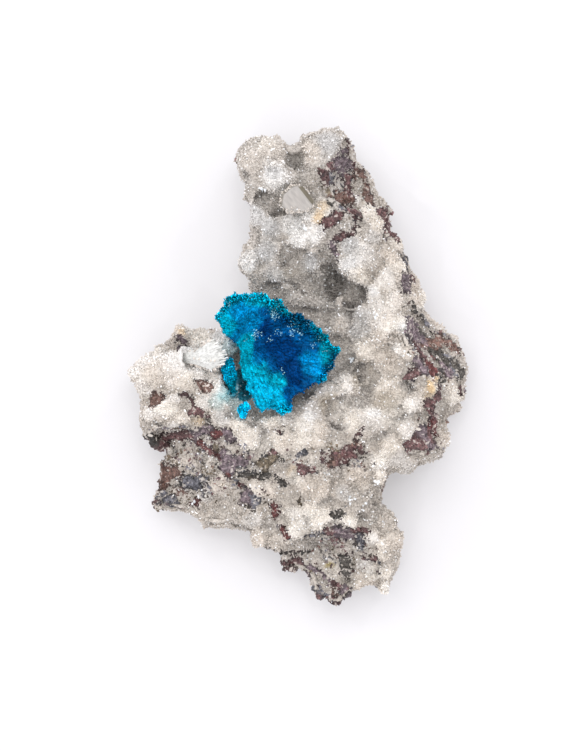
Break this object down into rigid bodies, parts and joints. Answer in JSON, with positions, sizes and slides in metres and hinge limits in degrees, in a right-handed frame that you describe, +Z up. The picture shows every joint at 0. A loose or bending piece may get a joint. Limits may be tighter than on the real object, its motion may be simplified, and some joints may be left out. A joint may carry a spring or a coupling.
{
  "type": "cavansite crystal cluster",
  "caption": "Cavansite rosette of packed blue blades seated in a lumpy zeolite-crusted rock, lying on its flat back, with a side spray, a chip and pale crystals.",
  "frame": {"origin": "middle of the specimen's bounding box, at the height of its flat foot", "axes": "+Y along the specimen's length towards the end with the glassy crystal, +X towards the broken rock on its long side, +Z up out of the foot towards the rosette"},
  "size_m": [0.0522, 0.0724, 0.0258],
  "materials": {
    "zeolite-coated breccia": "sugary crystal crust, bare rock on the broken faces",
    "cavansite": "vitreous to pearly blue",
    "heulandite": "glassy, translucent",
    "stilbite": "pearly white"
  },
  "bodies": {
    "root": {"matrix": "zeolite-coated breccia", "cavansite_rosette": "cavansite", "cavansite_side_spray": "cavansite", "cavansite_chip": "cavansite", "heulandite_crystal": "heulandite", "stilbite_sheaf": "stilbite"}
  },
  "joints": []
}
